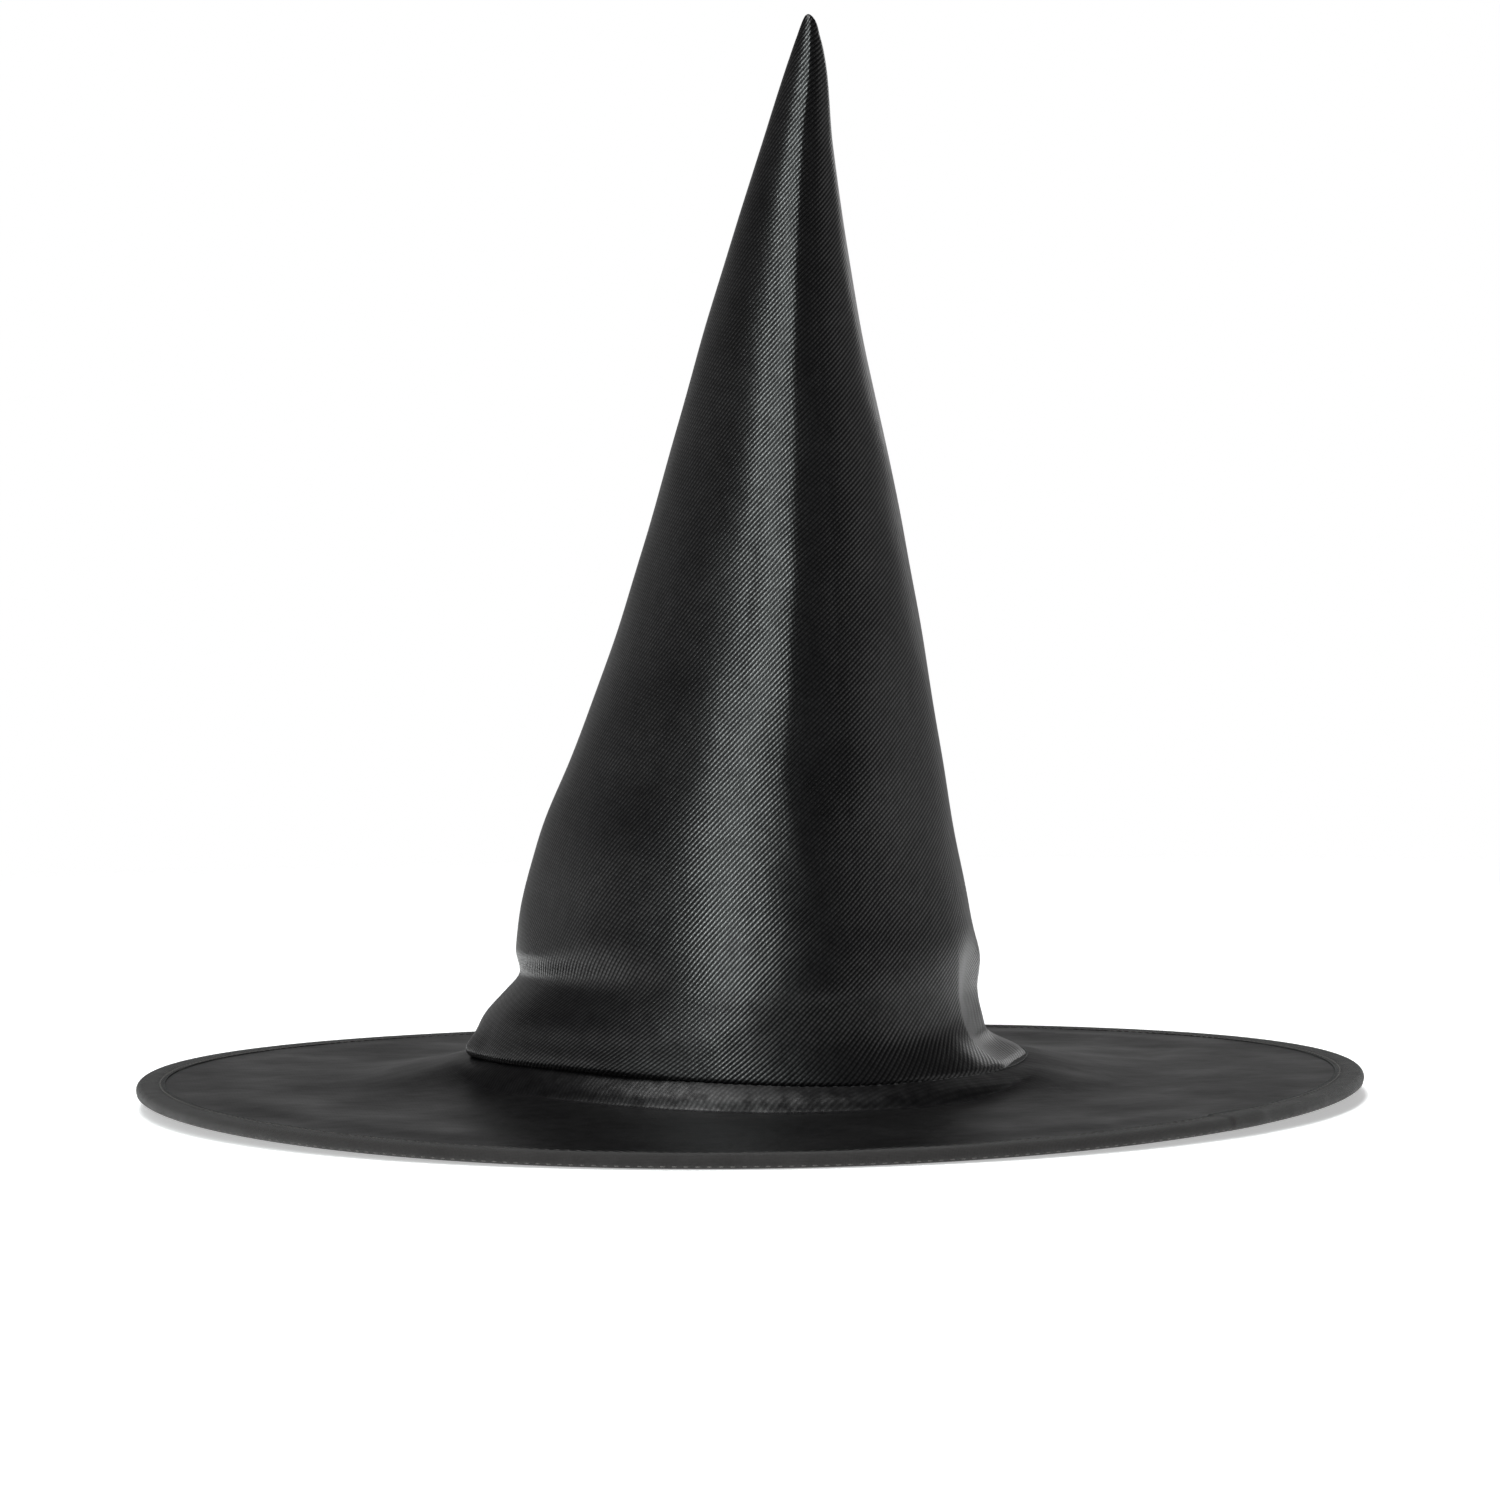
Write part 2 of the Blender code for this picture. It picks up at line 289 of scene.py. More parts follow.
def crown_points(turn, height, inset=0.0):
    """Points of the crown, inset from the outside of its satin."""
    out = folds(turn, height) - inset
    lift = seam_lift(turn) * (1 - step(height, SEAM_HEIGHT + 0.004, 0.052))
    return np.stack(
        np.broadcast_arrays(
            crown_middle(height) + (crown_half_width(height) + out) * np.sin(turn),
            -(crown_half_depth(height) + out) * np.cos(turn),
            height + lift,
        ),
        axis=-1,
    )


front_profile = smooth_curve(
    np.array([91.2, 93, 95, 96.5, 97.6, 98.4, 99.4, 101, 105, 115, 130, 150]) / 1000,
    np.array([8.5, 7.3, 5.9, 4.7, 3.5, 2.4, 1.2, 0.7, 0.5, 0.2, 0.1, 0.0]) / 1000,
)


def front_roll(turn, radius):
    """At the front the brim drops from the seam in a plump roll with a crease at its foot."""
    level = brim_core_middle(BRIM_OUTER)
    rounder = front_profile(radius) + level - brim_core_middle(radius)
    return rounder * window(turn, -66, 56, 16) * (radius >= OPENING_RADIUS)


def brim_points(turn, radius, offset):
    """Points of the brim, offset upwards from the middle of its core."""
    share = np.clip((0.150 - radius) / (0.150 - OPENING_RADIUS), 0, 1)
    outer = np.clip((radius - OPENING_RADIUS) / (RIM_RADIUS - OPENING_RADIUS), 0, 1)
    raised = seam_lift(turn)
    lift = np.maximum(raised, 0) * share**1.6 + np.minimum(raised, 0) * share**6 + rim_lift(turn) * outer
    between = step(radius, 0.100, 0.118) * (1 - step(radius, 0.172, 0.187))
    lift = lift + front_roll(turn, radius)
    uneven = (0.00055 + waves(turn, radius, 0.00030, 6, seed=11)) * between
    puckers = 0.00010 * np.sin(turn * 175) * bump(radius, OPENING_RADIUS, 0.006)
    height = brim_core_middle(radius) + offset + lift + uneven + puckers
    return np.stack(np.broadcast_arrays(radius * np.sin(turn), -radius * np.cos(turn), height), axis=-1)


# ---------------------------------------------------------------- meshes


def turns(count):
    """The angles of a ring's points, from the back round to the back again. The last repeats the first."""
    return np.linspace(-math.pi, math.pi, count + 1)


def finish_mesh(name, vertices, faces, corner_uvs, sharp=55):
    """A smooth object of quads and triangles with one UV for each corner of its faces."""
    mesh = bpy.data.meshes.new(name)
    mesh.from_pydata(vertices, [], faces)
    mesh.uv_layers.new(name="UVMap").data.foreach_set("uv", np.asarray(corner_uvs, np.float32).ravel())
    bm = bmesh.new()
    bm.from_mesh(mesh)
    bmesh.ops.recalc_face_normals(bm, faces=bm.faces)
    bm.to_mesh(mesh)
    bm.free()
    mesh.shade_smooth()
    mesh.set_sharp_from_angle(angle=degrees(sharp))
    made = bpy.data.objects.new(name, mesh)
    bpy.context.scene.collection.objects.link(made)
    return made


def skin(name, rings, uvs, closed=False, sharp=55):
    """A mesh through rings of points. A ring's last point repeats its first; a ring of one point is a pole.

    Each ring has as many UVs as points, and a pole as many as its neighbour. In a closed skin the last ring
    joins the first.
    """
    vertices, starts = [], []
    for ring in rings:
        starts.append(len(vertices))
        vertices.extend(map(tuple, ring if len(ring) == 1 else ring[:-1]))
    faces, corner_uvs = [], []
    pairs = list(zip(range(len(rings)), range(1, len(rings))))
    if closed:
        pairs.append((len(rings) - 1, 0))
    for upper, lower in pairs:
        uv_upper, uv_lower = uvs[upper], uvs[lower]
        if closed and lower == 0:
            uv_lower = uvs[-1] + (uvs[-1] - uvs[-2])
        one_upper, one_lower = len(rings[upper]) == 1, len(rings[lower]) == 1
        count = max(len(rings[upper]), len(rings[lower])) - 1
        for side in range(count):
            after = (side + 1) % count
            corners = [(starts[lower] + side * (not one_lower), uv_lower[side])]
            if not one_lower:
                corners.append((starts[lower] + after, uv_lower[side + 1]))
            if not one_upper:
                corners.append((starts[upper] + after, uv_upper[side + 1]))
            corners.append((starts[upper] + side * (not one_upper), uv_upper[side]))
            faces.append([index for index, _ in corners])
            corner_uvs.extend(uv for _, uv in corners)
    return finish_mesh(name, vertices, faces, corner_uvs, sharp)


def close_ends(rings, uvs):
    """Adds a pole to each end of a skin's rings and UVs."""
    first, last = (ring[:-1].mean(axis=0, keepdims=True) for ring in (rings[0], rings[-1]))
    return [first, *rings, last], [uvs[0], *uvs, uvs[-1]]


def slant_lengths():
    """Heights on the crown, and how far each lies down the slope from the centre of its flat sector."""
    heights = np.linspace(TIP_HEIGHT, SEAM_HEIGHT, 2000)
    radii = (crown_half_width(heights) + crown_half_depth(heights)) / 2
    slopes = np.hypot(np.diff(heights), np.diff(radii))
    return heights[::-1], (SECTOR_START + np.concatenate([[0], np.cumsum(slopes)]))[::-1]


def crown_uvs(turn, height):
    """Where a point of the crown lay on the flat sector it was cut from."""
    along = np.interp(height, *SLANTS)
    axis = CROWN_RINGS[-1, 1] * (height - SEAM_HEIGHT) / (TIP_HEIGHT - SEAM_HEIGHT)
    sideways = (crown_middle(height) - axis) / np.maximum(crown_half_width(height), 0.001)
    angle = (turn + sideways * np.cos(turn)) * OPENING_RADIUS / SLANTS[1][0]
    return np.stack(np.broadcast_arrays(along * np.sin(angle), -along * np.cos(angle)), axis=-1)


SLANTS = slant_lengths()


def crown_heights(top, fine):
    """Heights from the seam to the top of a layer, closest together where the folds are and at the tip."""
    bends, shoulder = 0.058, top - 0.012
    low = np.linspace(SEAM_HEIGHT, bends, round((bends - SEAM_HEIGHT) / fine), endpoint=False)
    middle = np.linspace(bends, shoulder, round((shoulder - bends) / (fine * 4)), endpoint=False)
    rounded = top - (top - shoulder) * np.linspace(1, 0, 22) ** 2
    return np.concatenate([low, middle, rounded[:-1]])


def crown_layer(name, outside, inside, fine, around):
    """A conical skin between two insets, open underneath.

    A surface inside the satin closes where less than roomy is left of the crown's half-width.
    """
    roomy = 0.0006
    angles = turns(around)
    rings, uvs = [], []
    for inset, downwards in ((outside, True), (inside, False)):
        levels = np.linspace(0.2, TIP_HEIGHT, 4000)
        room = np.minimum(crown_half_width(levels), crown_half_depth(levels)) - inset
        top = TIP_HEIGHT if inset == 0 else float(levels[room > roomy][-1])
        heights = crown_heights(top, fine)
        side = [crown_points(angles, height, inset) for height in heights]
        side_uvs = [crown_uvs(angles, height) for height in heights]
        side.append(np.array([[float(crown_middle(top)), 0.0, top + 0.5 * roomy * (inset > 0)]]))
        side_uvs.append(crown_uvs(angles, top))
        order = slice(None, None, -1) if downwards else slice(None)
        rings += side[order]
        uvs += side_uvs[order]
    return skin(name, rings, uvs, sharp=75)


def crown_band(name, outside, inside, bottom, top, rows, around):
    """A ribbon that follows the inside of the crown."""
    angles = turns(around)
    heights = np.linspace(bottom, top, rows)
    rings, uvs = [], []
    for inset, levels in ((outside, heights[::-1]), (inside, heights)):
        for level in levels:
            at = max(level, SEAM_HEIGHT + 0.003)
            points = crown_points(angles, at, inset)
            points[:, 2] += level - at
            rings.append(points)
            uvs.append(np.stack([angles * OPENING_RADIUS, np.full_like(angles, level)], axis=-1))
    return skin(name, rings, uvs, closed=True)


def brim_radii(rows):
    """Radii from the brim's hole to its edge, two fifths of them across the roll."""
    across_roll = rows * 2 // 5
    roll = np.linspace(BRIM_INNER, ROLL_FOOT, across_roll, endpoint=False)
    return np.concatenate([roll, np.linspace(ROLL_FOOT, BRIM_OUTER, rows - across_roll)])


def brim_layer(name, low, high, rows, around):
    """A ring of cloth between two offsets from the middle of the brim's core."""
    angles = turns(around)
    radii = brim_radii(rows)
    rings, uvs = [], []
    for offset, places in ((high, radii), (low, radii[::-1])):
        for radius in places:
            points = brim_points(angles, radius, offset)
            rings.append(points)
            uvs.append(points[:, :2].copy())
    return skin(name, rings, uvs, closed=True)


def rim_profile():
    """The binding's cross-section, round the fold and back: radius, height and how far it is stitched in."""
    thick = 0.0005
    mouth, stitched = TAPE_MOUTH, TAPE_STITCHES
    middle = RIM_TOP / 2
    top = [
        (mouth, RIM_TOP - thick, 0.3),
        (mouth - 0.00005, RIM_TOP - 0.4 * thick, 0.5),
        (mouth + 0.0003, RIM_TOP - 0.0003, 0.8),
        (mouth + 0.0009, RIM_TOP - 0.00035, 1.0),
        (stitched, RIM_TOP - 0.0005, 1.0),
        (stitched + 0.0007, RIM_TOP - 0.0003, 0.8),
        (stitched + 0.0018, RIM_TOP - 0.0001, 0.3),
        (stitched + 0.0036, RIM_TOP, 0.0),
    ]
    fold = [
        (RIM_RADIUS - middle * (1 - math.cos(a)), middle + middle * math.sin(a), 0.0)
        for a in (degrees(d) for d in range(75, -76, -15))
    ]
    bottom = [(radius, RIM_TOP - height, pull) for radius, height, pull in reversed(top)]
    inner = [
        (mouth + 0.0002, thick + 0.00005, 0.3),
        (RIM_RADIUS - 0.0022, thick + 0.0001, 0.0),
        (RIM_RADIUS - 0.0007, middle, 0.0),
        (RIM_RADIUS - 0.0022, RIM_TOP - thick - 0.0001, 0.0),
        (mouth + 0.0002, RIM_TOP - thick - 0.00005, 0.3),
    ]
    return top + fold + bottom + inner


def tape_lap(turn):
    """The tape's ends lap over each other for a finger's breadth at the front right."""
    deg = turn * 180 / math.pi
    return step(deg, 46.2, 46.7) * (1 - step(deg, 50.8, 52.2))


def edge_binding():
    """A tape folded round the rim, stitched through near its inner edges."""
    angles = turns(1480)
    stitches = round(FULL_TURN * RIM_RADIUS / STITCH)
    lap = tape_lap(angles)
    pucker = 0.00012 * np.cos(angles * stitches) + 0.00010 * np.sin(angles * 31 + 1.0)
    rings, uvs = [], []
    profile = rim_profile()
    length = 0.0
    for index, (radius, height, pull) in enumerate(profile):
        before = profile[index - 1] if index else profile[0]
        length += math.hypot(radius - before[0], height - before[1])
        inside = index > len(profile) - 6
        thicker = 0.0 if inside else 0.00035 * lap
        level = height + pull * pucker * (height > RIM_TOP / 2)
        level = level + thicker * step(height, RIM_TOP * 0.4, RIM_TOP) + rim_lift(angles)
        wide = radius + thicker * step(radius, RIM_RADIUS - 0.004, RIM_RADIUS)
        wide = wide - 0.0004 * lap * (radius < TAPE_MOUTH + 0.0009)
        rings.append(np.stack([wide * np.sin(angles), -wide * np.cos(angles), level + 0 * angles], axis=-1))
        uvs.append(np.stack([angles * RIM_RADIUS, np.full_like(angles, length)], axis=-1))
    return skin("binding_tape", rings, uvs, closed=True)


def stitch_row(centres, directions, length, arch, up):
    """Vertices and faces of one small capsule of thread for each centre, arched along up."""
    sides = 6
    steps = np.linspace(-1, 1, 7)
    thickness = THREAD_RADIUS * np.sqrt(np.clip(1 - np.abs(steps) ** 5, 0.02, 1))
    vertices, faces = [], []
    around = [FULL_TURN * side / sides for side in range(sides)]
    for centre, along, out in zip(centres, directions, up):
        along, out = Vector(along).normalized(), Vector(out).normalized()
        across = along.cross(out)
        start = len(vertices)
        for place, thick in zip(steps, thickness):
            middle = Vector(centre) + along * (place * length / 2) + out * (arch * (1 - place**2))
            for angle in around:
                vertices.append(middle + (across * math.cos(angle) + out * math.sin(angle)) * thick)
        for ring in range(len(steps) - 1):
            for side in range(sides):
                after = (side + 1) % sides
                low, high = start + ring * sides, start + (ring + 1) * sides
                faces.append((low + side, low + after, high + after, high + side))
        faces.append(tuple(start + side for side in reversed(range(sides))))
        faces.append(tuple(start + (len(steps) - 1) * sides + side for side in range(sides)))
    return vertices, faces


def thread_piece(name, rows):
    """One object of several rows of stitches."""
    vertices, faces = [], []
    for row_vertices, row_faces in rows:
        shift = len(vertices)
        vertices += row_vertices
        faces += [tuple(index + shift for index in face) for face in row_faces]
    corner_uvs = []
    for face in faces:
        for index in face:
            corner_uvs.append((vertices[index].x + vertices[index].y, vertices[index].z))
    return finish_mesh(name, [tuple(v) for v in vertices], faces, corner_uvs)


def ring_of_stitches(radius, height_at, round_radius, pitch, length, arch, up_at):
    """A row of stitches round the hat, as many as the pitch allows round a circle of round_radius.

    Their height and outward direction are functions of the turn.
    """
    count = round(FULL_TURN * round_radius / pitch)
    centres, directions, ups = [], [], []
    for number in range(count):
        turn = -math.pi + FULL_TURN * (number + 0.5) / count
        here, there = (
            np.array([radius * math.sin(t), -radius * math.cos(t), height_at(t)])
            for t in (turn - 0.004, turn + 0.004)
        )
        centres.append((here + there) / 2)
        directions.append(there - here)
        ups.append(up_at(turn))
    return stitch_row(centres, directions, length, arch, ups)


def tube(name, points, radius, squeeze=None, wall=None):
    """A round bar through points, or with a wall a pipe. Squeeze narrows it at each point."""
    sides = 14
    points = [Vector(point) for point in points]
    around = np.linspace(0, FULL_TURN, sides + 1)
    outer, inner = [], []
    for index, point in enumerate(points):
        along = (points[min(index + 1, len(points) - 1)] - points[max(index - 1, 0)]).normalized()
        across = Vector((0, 0, 1)).cross(along).normalized()
        up = along.cross(across)
        thick = radius * (1 if squeeze is None else squeeze[index])
        for rings, size in ((outer, thick), (inner, thick - (wall or 0))):
            circle = [point + (across * math.cos(a) + up * math.sin(a)) * size for a in around]
            rings.append(np.array(circle))
    if wall is None:
        rings = [np.array([points[0]]), *outer, np.array([points[-1]])]
    else:
        rings = outer + inner[::-1]
    places = 0.002 * np.arange(len(rings))
    uvs = [np.stack([around * radius, np.full_like(around, place)], axis=-1) for place in places]
    return skin(name, rings, uvs, closed=wall is not None)


# ---------------------------------------------------------------- materials


def add_node(tree, kind, inputs=None, **settings):
    """A node with its settings, and its inputs either linked or set."""
    made = tree.nodes.new(kind)
    for key, value in settings.items():
        setattr(made, key, value)
    for key, value in (inputs or {}).items():
        if isinstance(value, bpy.types.NodeSocket):
            tree.links.new(value, made.inputs[key])
        else:
            made.inputs[key].default_value = value
    return made


def maths(tree, operation, *values):
    return add_node(tree, "ShaderNodeMath", dict(enumerate(values)), operation=operation).outputs[0]


def dot(tree, vector, direction):
    made = add_node(tree, "ShaderNodeVectorMath", {0: vector, 1: direction}, operation="DOT_PRODUCT")
    return made.outputs["Value"]


def ripple(tree, phase):
    """A wave from 0 to 1 whose phase is in whole waves."""
    turned = maths(tree, "MULTIPLY", phase, FULL_TURN)
    return maths(tree, "MULTIPLY_ADD", maths(tree, "SINE", turned), 0.5, 0.5)


def noise(tree, vector, scale, detail=2.0, rough=0.5):
    made = add_node(
        tree, "ShaderNodeTexNoise", {"Vector": vector, "Scale": scale, "Detail": detail, "Roughness": rough}
    )
    return made.outputs["Fac"]


def span(tree, value, low, high, from_low=0.0, from_high=1.0):
    made = add_node(
        tree,
        "ShaderNodeMapRange",
        {"Value": value, "From Min": from_low, "From Max": from_high, "To Min": low, "To Max": high},
    )
    return made.outputs["Result"]


def blend_colour(tree, share, first, second):
    made = add_node(tree, "ShaderNodeMix", data_type="RGBA")
    tree.links.new(share, made.inputs["Factor"])
    made.inputs["A"].default_value = (*first, 1)
    made.inputs["B"].default_value = (*second, 1)
    return made.outputs["Result"]


def new_material(name):
    """A material, its node tree, its shader and its two kinds of coordinates, all in metres."""
    material = bpy.data.materials.new(name)
    material.use_nodes = True
    tree = material.node_tree
    shader = tree.nodes["Principled BSDF"]
    flat = tree.nodes.new("ShaderNodeUVMap")
    flat.uv_map = "UVMap"
    solid = tree.nodes.new("ShaderNodeTexCoord")
    return material, tree, shader, flat.outputs["UV"], solid.outputs["Object"]


def set_surface(tree, shader, colour, roughness, height, depth, constants):
    """Links what varies over the surface, and sets what is the same all over it on the shader's sockets."""
    relief = add_node(tree, "ShaderNodeBump", {"Height": height, "Strength": 1.0, "Distance": depth})
    tree.links.new(relief.outputs["Normal"], shader.inputs["Normal"])
    tree.links.new(colour, shader.inputs["Base Color"])
    tree.links.new(roughness, shader.inputs["Roughness"])
    for socket, value in constants.items():
        shader.inputs[socket].default_value = value


def satin(name, smooth, rough, specular, dull=0.0):
    """Black polyester satin: slanting ribs of short shining floats of yarn, between dull grooves.

    Its roughness goes from smooth to rough from place to place. Dull is 0 for crisp ribs, and 1 for none.
    """
    material, tree, shader, flat, solid = new_material(name)
    slope = math.sqrt(0.5) / RIB
    wander = maths(tree, "MULTIPLY", noise(tree, solid, 60, 1.0), 0.35)
    rib_phase = maths(tree, "ADD", dot(tree, flat, (-slope, slope, 0)), wander)
    rib = ripple(tree, rib_phase)
    stagger = maths(tree, "FLOOR", rib_phase)
    yarn_phase = maths(tree, "MULTIPLY_ADD", stagger, 0.38, dot(tree, flat, (slope, slope, 0)))
    floats = ripple(tree, maths(tree, "MULTIPLY", yarn_phase, 0.9))

    rib_top = span(tree, rib, 0.10, 1.0, 0.15, 0.80)
    float_top = span(tree, floats, 0.60, 1.0, 0.1, 0.7)
    shining = maths(tree, "MULTIPLY", rib_top, float_top)
    shining = maths(tree, "MULTIPLY_ADD", shining, 1 - dull, 0.4 * dull)

    height = maths(tree, "MULTIPLY", rib, maths(tree, "MULTIPLY_ADD", floats, 0.25, 0.75))
    height = maths(tree, "MULTIPLY", height, 1 - dull)
    height = maths(tree, "MULTIPLY_ADD", noise(tree, solid, 2600, 2.0), 0.12, height)
    crumple = maths(tree, "MULTIPLY", noise(tree, solid, 95, 3.0, 0.55), 3.2)
    height = maths(tree, "ADD", height, crumple)

    colour = blend_colour(tree, shining, (0.0008, 0.0007, 0.0009), (0.0036, 0.0033, 0.0036))
    polish = span(tree, noise(tree, solid, 34, 3.0), smooth, rough, 0.3, 0.7)
    roughness = maths(tree, "MULTIPLY_ADD", shining, -0.10, maths(tree, "ADD", polish, 0.10))
    blotches = noise(tree, solid, 240, 4.0, 0.6)
    worn = span(tree, blotches, 0.70 - 0.6 * dull, 1.0 + 0.6 * dull, 0.35, 0.60)
    tint = blend_colour(tree, maths(tree, "MULTIPLY", shining, worn), (0.08, 0.08, 0.08), (1, 1, 1))
    tree.links.new(tint, shader.inputs["Specular Tint"])
    set_surface(tree, shader, colour, roughness, height, SATIN_RELIEF, {"Specular IOR Level": specular})
    return material


def plain_weave(name, dark, light, roughness, pitch, depth, specular=0.35, hem=0.0):
    """Cloth of crossing yarns, each over one and under the next. Given a hem width, its colour is painted
    darker over that width from one edge: painted shade for the groove at that edge.
    """
    material, tree, shader, flat, solid = new_material(name)
    across = ripple(tree, dot(tree, flat, (1 / pitch, 0, 0)))
    along = ripple(tree, dot(tree, flat, (0, 1 / pitch, 0)))
    over = maths(tree, "MAXIMUM", across, along)
    height = maths(tree, "MULTIPLY_ADD", noise(tree, solid, 900, 2.0), 0.5, over)
    colour = blend_colour(tree, height, dark, light)
    # Painted shade: near the edge the colour is darkened, standing in for the shadow in the groove there.
    if hem:
        from_edge = maths(tree, "ABSOLUTE", dot(tree, flat, (0, 1, 0)))
        groove_shade = add_node(tree, "ShaderNodeVectorMath", {0: colour}, operation="SCALE")
        tree.links.new(span(tree, from_edge, 0.0, 1.0, 0.4 * hem, hem), groove_shade.inputs["Scale"])
        colour = groove_shade.outputs["Vector"]
    fuzz = span(tree, noise(tree, solid, 120, 3.0), roughness - 0.08, roughness + 0.08, 0.3, 0.7)
    constants = {"Specular IOR Level": specular, "Sheen Weight": 0.1, "Sheen Roughness": 0.5}
    set_surface(tree, shader, colour, fuzz, height, depth, constants)
    return material


def grosgrain(name):
    """Ribbon with upright ribs and a woven edge."""
    material, tree, shader, flat, solid = new_material(name)
    rib = ripple(tree, dot(tree, flat, (1 / 0.0011, 0, 0)))
    pick = ripple(tree, dot(tree, flat, (0, 1 / 0.00045, 0)))
    height = maths(tree, "MULTIPLY_ADD", pick, 0.2, rib)
    height = maths(tree, "MULTIPLY_ADD", noise(tree, solid, 1500, 2.0), 0.2, height)
    colour = blend_colour(tree, rib, (0.006, 0.006, 0.0065), (0.018, 0.018, 0.019))
    roughness = span(tree, noise(tree, solid, 80, 2.0), 0.5, 0.65, 0.3, 0.7)
    constants = {"Specular IOR Level": 0.4, "Sheen Weight": 0.1}
    set_surface(tree, shader, colour, roughness, height, 0.00022, constants)
    return material


def foam_material():
    """Open-celled foam."""
    material, tree, shader, _, solid = new_material("foam")
    cells = add_node(tree, "ShaderNodeTexVoronoi", {"Vector": solid, "Scale": 1400}).outputs["Distance"]
    colour = blend_colour(tree, cells, (0.015, 0.015, 0.016), (0.045, 0.045, 0.047))
    roughness = span(tree, noise(tree, solid, 200), 0.85, 1.0)
    set_surface(tree, shader, colour, roughness, cells, 0.0004, {"Specular IOR Level": 0.2})
    return material


def thread_material(name, dark, light):
    """Twisted sewing thread."""
    material, tree, shader, flat, solid = new_material(name)
    twist = ripple(tree, dot(tree, flat, (1 / 0.0005, 1 / 0.0005, 0)))
    colour = blend_colour(tree, twist, dark, light)
    roughness = span(tree, noise(tree, solid, 400), 0.45, 0.6)
    constants = {"Specular IOR Level": 0.5, "Sheen Weight": 0.1}
    set_surface(tree, shader, colour, roughness, twist, 0.00006, constants)
    return material


def metal_material(name, colour, smooth, rough, lines):
    """Drawn or rolled metal with fine lines along it."""
    material, tree, shader, _, solid = new_material(name)
    streaks = noise(tree, solid, lines, 3.0)
    tones = blend_colour(tree, streaks, tuple(0.8 * c for c in colour), colour)
    roughness = span(tree, streaks, smooth, rough)
    set_surface(tree, shader, tones, roughness, streaks, 0.00002, {"Metallic": 1.0})
    return material


# ---------------------------------------------------------------- the pieces


def place(piece, material, body, slot, *nodes):
    """Gives a piece its material, the body it rides on and the model's nodes that it stands for."""
    piece.data.materials.clear()
    piece.data.materials.append(material)
    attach(piece, body)
    if nodes:
        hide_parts(*nodes)
    return piece


def build_crown():
    """The satin, the foam and the knitted lining, one inside the other."""
    crown_satin = satin("crown_satin", 0.26, 0.34, 1.0)
    knit = plain_weave("tricot", (0.008, 0.008, 0.009), (0.028, 0.028, 0.030), 0.85, 0.0009, 0.00015)
    shell = crown_layer("crown_satin", 0.0, SATIN, 0.0006, AROUND)
    foam = crown_layer("crown_interlining", CROWN_FOAM_FROM, CROWN_FOAM_FROM + FOAM, 0.0024, 96)
    lining = crown_layer("crown_tricot", CROWN_LINING_FROM, CROWN_WALL, 0.0012, 192)
    place(shell, crown_satin, "hat", "black_satin", "crown_shell")
    place(foam, foam_material(), "hat", "foam", "crown_foam")
    place(lining, knit, "hat", "tricot", "crown_lining")


def build_brim():
    """The brim's foam and its two satin covers."""
    cover_from = BRIM_CORE + GAP
    cover_to = cover_from + SATIN
    brim_satin = satin("brim_satin", 0.31, 0.42, 0.42, dull=0.7)
    top = brim_layer("brim_top_satin", cover_from, cover_to, 110, AROUND)
    core = brim_layer("brim_interlining", -BRIM_CORE, BRIM_CORE, 24, 96)
    under = brim_layer("brim_under_satin", -cover_to, -cover_from, 80, AROUND)
    place(top, brim_satin, "hat", "black_satin", "brim_top_cover")
    place(core, bpy.data.materials["foam"], "hat", "foam", "brim_core")
    place(under, brim_satin, "hat", "black_satin", "brim_under_cover")


def build_binding():
    """The tape folded round the brim's edge, and its stitching."""
    tape = plain_weave(
        "bias_tape",
        dark=(0.0036, 0.0030, 0.0029),
        light=(0.0125, 0.0105, 0.0102),
        roughness=0.66,
        pitch=0.00045,
        depth=0.00010,
        specular=0.30,
        # Painted shade along the tape's inner top edge, for the shadow in the groove at its mouth.
        hem=0.0022,
    )
    thread = thread_material("binding_thread", (0.02, 0.018, 0.017), (0.09, 0.08, 0.075))
    binding = edge_binding()
    place(binding, tape, "hat", "binding_tape", "edge_binding")

    above = lambda turn: (0, 0, 1)
    below = lambda turn: (0, 0, -1)
    outward = lambda turn: (math.sin(turn), -math.cos(turn), 0)

    def row(radius, level, length, arch, direction):
        height_at = lambda turn: rim_lift(turn) + level
        return ring_of_stitches(radius, height_at, RIM_RADIUS, STITCH, length, arch, direction)

    rows = [
        row(TAPE_STITCHES, RIM_TOP - 0.0004, 0.0027, 0.0001, above),
        row(TAPE_STITCHES, 0.0004, 0.0027, 0.00005, below),
        row(RIM_RADIUS - 0.0005, 0.0009, 0.0016, 0.00005, outward),
    ]
    place(thread_piece("binding_stitches", rows), thread, "hat", "thread", "binding_thread")


